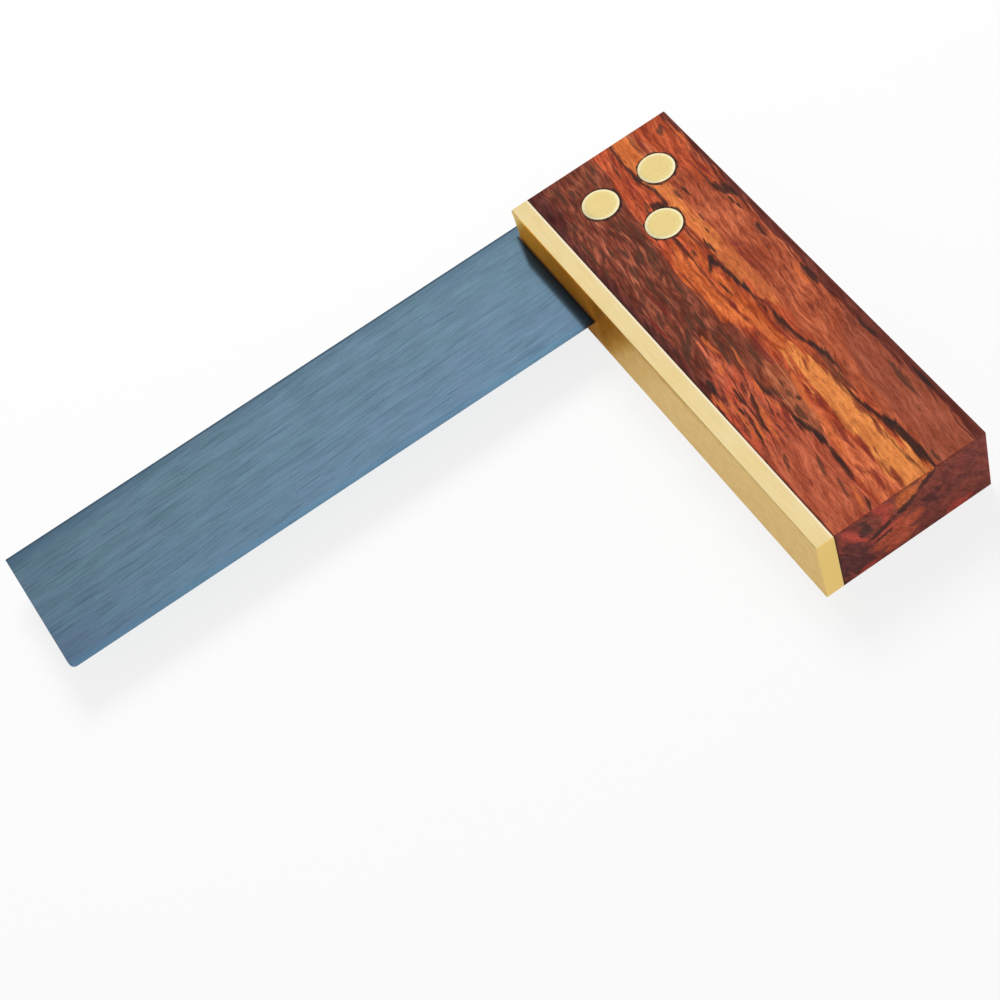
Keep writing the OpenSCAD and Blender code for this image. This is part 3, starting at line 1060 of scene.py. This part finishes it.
def pin_profile(name):
    low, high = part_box(name)
    head_r, length = half_width(name), high.x - low.x
    return [(0, 0), (head_r - HAIRLINE / 2, 0), (PIN_SHANK_R, head_r - PIN_SHANK_R),
            (PIN_SHANK_R, length - PIN_POINT), (PIN_SHANK_R / 2, length), (0, length)]


def on_axis(point):
    """The foot of a vertical axis through a point."""
    return Vector((point.x, point.y, 0))


def pin_start(name):
    """Where a pin's head lies in the fence."""
    point = middle(name)
    return Vector((plate_high.x, point.y, point.z))


print("a disc is", round(2 * half_width("disc_front_top") / MM, 2), "mm across")

# %% Rivets, discs and pins
for name, axis in rivet_axes.items():
    rivet = turned(f"rivet_{name}_brass", rivet_profile(name), on_axis(axis))
    finish_piece(rivet, rivet_brass, "rivet_brass", f"rivet_{name}")
    for side in ("top", "under"):
        disc = turned(f"disc_{name}_{side}_brass", disc_profile(name, side), on_axis(axis))
        finish_piece(disc, disc_brass, "disc_brass", f"disc_{name}_{side}")
for name in PINS:
    finish_piece(turned(name + "_brass", pin_profile(name), pin_start(name), "-X"),
                 pin_brass, "pin_brass", name)
print(len(rivet_axes), "rivets,", 2 * len(rivet_axes), "discs and", len(PINS), "pins")

# %% [markdown]
# ## The stock
#
# The stock is one block of rosewood with small round arrises, sawn in from the heel for the blade.
# The joint with the brass stays sharp, because both were planed level together. The cutters are
# the blade, the discs, the rivets and the pins themselves, each with its own small play.

# %% Cutters
WOOD_EASE = 0.3 * MM
PLATE_EASE = 0.28 * MM
SLOT_PLAY = 0.02 * MM


def slot_cutter():
    low = Vector((wood_low.x - OVER, wood_low.y - OVER, blade_low.z - SLOT_PLAY))
    high = Vector((plate_high.x + OVER, slot_end, blade_high.z + SLOT_PLAY))
    return bar("slot_cutter", low, high, 0)


def round_cutter(axis, radius, low_z, high_z):
    profile = [(0, low_z), (radius, low_z), (radius, high_z), (0, high_z)]
    return turned("round_cutter", profile, on_axis(axis))


def shank_cutter(axis):
    return round_cutter(axis, SHANK_R + SHANK_PLAY, -OVER, top_z + OVER)


def pin_cutter(name):
    """A pin, with its head's cone carried on outwards past the fence so that it is cut clean."""
    profile = [(0, -OVER), (half_width(name) + OVER, -OVER), *pin_profile(name)[2:]]
    return turned("pin_cutter", profile, pin_start(name), "-X")


def rivet_cutters():
    """A hole for each shank and a seat for each disc."""
    cutters = []
    for name, axis in rivet_axes.items():
        cutters.append(shank_cutter(axis))
        seat_r = half_width(f"disc_{name}_top") + SEAT_GAP
        cutters.append(round_cutter(axis, seat_r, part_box(f"disc_{name}_top")[0].z, top_z + OVER))
        cutters.append(round_cutter(axis, seat_r, -OVER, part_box(f"disc_{name}_under")[1].z))
    return cutters


def at_joint(point):
    return abs(point.x - joint_x) < HAIRLINE


print("the slot is", round((blade_high.z - blade_low.z + 2 * SLOT_PLAY) / MM, 2), "mm wide")

# %% Stock
stock = cut(bar("stock_wood", wood_low, wood_high, WOOD_EASE, keep_sharp=at_joint),
            [slot_cutter(), *rivet_cutters(), *map(pin_cutter, PINS)])
finish_piece(stock, wood.material, "stock_wood", "stock")
print("stock has", len(stock.polygons), "faces")

# %% [markdown]
# ## The face plate
#
# The plate takes the wear, so that the soft wood behind it stays straight. It is a bar of brass,
# slotted and drilled with the wood in one go. It has another finish and is a part by itself, so it
# is cut as a piece of its own, with the same cutters.

# %% Face plate
plate = cut(bar("face_plate_brass", plate_low, plate_high, PLATE_EASE, keep_sharp=at_joint),
            [slot_cutter(), *map(pin_cutter, PINS)])
finish_piece(plate, plate_brass, "plate_brass", "face_plate")
print("face plate has", len(plate.polygons), "faces")

# %% [markdown]
# ## The blade
#
# The blade is a strip with straight edges and one rounded corner, at the inner side of its tip. Its
# outline is drawn once, raised to its thickness and then eased all round by a tenth of a
# millimetre: enough to catch the light, and too little to spoil a straight edge.

# %% Blade
TIP_R = 1.5 * MM
TIP_STEPS = 8
BLADE_EASE = 0.1 * MM


def blade_outline():
    """The outline, with an arc at the inner tip corner."""
    arc_centre = (blade_high.x - TIP_R, blade_high.y - TIP_R)
    arc = [(arc_centre[0] + TIP_R * math.cos(turn), arc_centre[1] + TIP_R * math.sin(turn))
           for turn in (math.pi / 2 * step / TIP_STEPS for step in range(TIP_STEPS + 1))]
    outer_edge = [(blade_low.x, blade_low.y), (blade_high.x, blade_low.y)]
    return [*outer_edge, *arc, (blade_low.x, blade_high.y)]


def blade_strip(bm):
    """The outline raised to the thickness of the blade, with its long edges eased."""
    face = bm.faces.new([bm.verts.new((x, y, blade_low.z)) for x, y in blade_outline()])
    raised = bmesh.ops.extrude_face_region(bm, geom=[face])["geom"]
    lifted = [part for part in raised if isinstance(part, bmesh.types.BMVert)]
    bmesh.ops.translate(bm, verts=lifted, vec=(0, 0, blade_high.z - blade_low.z))
    edges = [edge for edge in bm.edges if abs(edge.verts[0].co.z - edge.verts[1].co.z) < HAIRLINE]
    bmesh.ops.bevel(bm, geom=edges, offset=BLADE_EASE, segments=2, profile=0.5, affect="EDGES")


blade = cut(mesh_from("blade_steel", blade_strip), map(shank_cutter, rivet_axes.values()))
finish_piece(blade, steel.material, "blade_steel", "blade")
print("blade has", len(blade.polygons), "faces")

# %% [markdown]
# ## Floor
#
# The floor is pale and plain. Seen directly or in the brass it is mostly its own even white, and
# the rest of it is lit. A floor that is only lit would fall off into grey, and one that only glows
# would show no shadow: this one keeps a faint shadow of the tool.

# %% Floor
FLOOR_HALF = 3
FLOOR_GLOW = 0.82

pale = Finish("floor", Base_Color=(0.9, 0.9, 0.9, 1), Roughness=1, Specular_IOR_Level=0)
seen, _ = pale.seeing()
both = pale.node("MixShader", pale.times(seen, FLOOR_GLOW), pale.shader.outputs[0],
                 pale.node("Emission").outputs[0])
pale.feed(pale.tree.nodes["Material Output"].inputs["Surface"], both.outputs[0])


def floor_sheet(bm):
    corners = [(-1, -1), (1, -1), (1, 1), (-1, 1)]
    bm.faces.new([bm.verts.new((a * FLOOR_HALF, b * FLOOR_HALF, cad_low.z)) for a, b in corners])


floor = loose(mesh_from("floor", floor_sheet))
floor.data.materials.append(pale.material)
floor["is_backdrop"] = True
print("floor at z =", round(cad_low.z / MM, 2), "mm")

# %% [markdown]
# ## Lamp
#
# One broad soft lamp stands beyond the heel and a little behind the stock. A small lamp or a sun
# would draw hard shadows. The lamp isn't seen in the metal, where a bright square would stand out.
# Lamp and sky together light a level white sheet to just about white, so each colour looks the way
# it was mixed.

# %% Lamp
LAMP_WAY = Vector((-0.2, -0.6, 0.78)).normalized()
LAMP_SHARE = 0.6
LAMP_AWAY = 0.9
LAMP_SIDE = 0.4

lamp_data = bpy.data.lights.new("soft_lamp", "AREA")
lamp_data.shape = "SQUARE"
lamp_data.size = LAMP_SIDE
# A level white sheet under a lamp of power P looks P * cos / (pi * away) ** 2 bright.
lamp_data.energy = LAMP_SHARE * (math.pi * LAMP_AWAY) ** 2 / LAMP_WAY.z
lamp = bpy.data.objects.new("soft_lamp", lamp_data)
lamp.location = (cad_low + cad_high) / 2 + LAMP_WAY * LAMP_AWAY
lamp.rotation_mode = "QUATERNION"
lamp.rotation_quaternion = LAMP_WAY.to_track_quat("Z", "Y")
lamp.visible_glossy = False
bpy.context.scene.collection.objects.link(lamp)
print("lamp of", round(lamp_data.energy, 1), "W")

# %% [markdown]
# ## Sky
#
# What falls on the tool from the sky is even, and the camera sees plain white. Metal shows its
# surroundings, and an even sky would make it look like paint. So metal sees white all round the
# horizon and over the stock's side, but a dim studio above the blade's side, which is what makes
# the fence and the blade darken where they face each other.

# %% Sky
SKY_SHARE = 0.42
DIM = 0.35

world = bpy.data.worlds.new("studio")
world.use_nodes = True
bpy.context.scene.world = world
sky = Recipe(world.node_tree)
way_x, _, way_z = sky.split(sky.node("TexCoord").outputs["Generated"])
low_sky = sky.ramp(way_z, 0.3, 0.5, 1, DIM)
lamp_side = sky.ramp(way_x, 0, 0.24, 1, DIM)
seen, from_camera = sky.seeing()
studio = sky.most(low_sky, lamp_side, from_camera)
backdrop = sky.tree.nodes["Background"].inputs
sky.feed(backdrop["Strength"], sky.ramp(seen, 0, 1, SKY_SHARE, studio))
sky.feed(backdrop["Color"], (1, 1, 1, 1))
bpy.context.scene.view_settings.view_transform = "Standard"
print("sky share", SKY_SHARE, "and lamp share", LAMP_SHARE)

# %% [markdown]
# ## Compare the size
#
# The box of the looks is compared with the box that the frame came with, and the last line prints their
# largest difference.

# %% Sizes and the end
shown_low, shown_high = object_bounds()
apart = [abs(a - b) for a, b in zip([*cad_low, *cad_high], [*shown_low, *shown_high])]
print("largest difference in the box:", round(max(apart) / MM, 3), "mm")
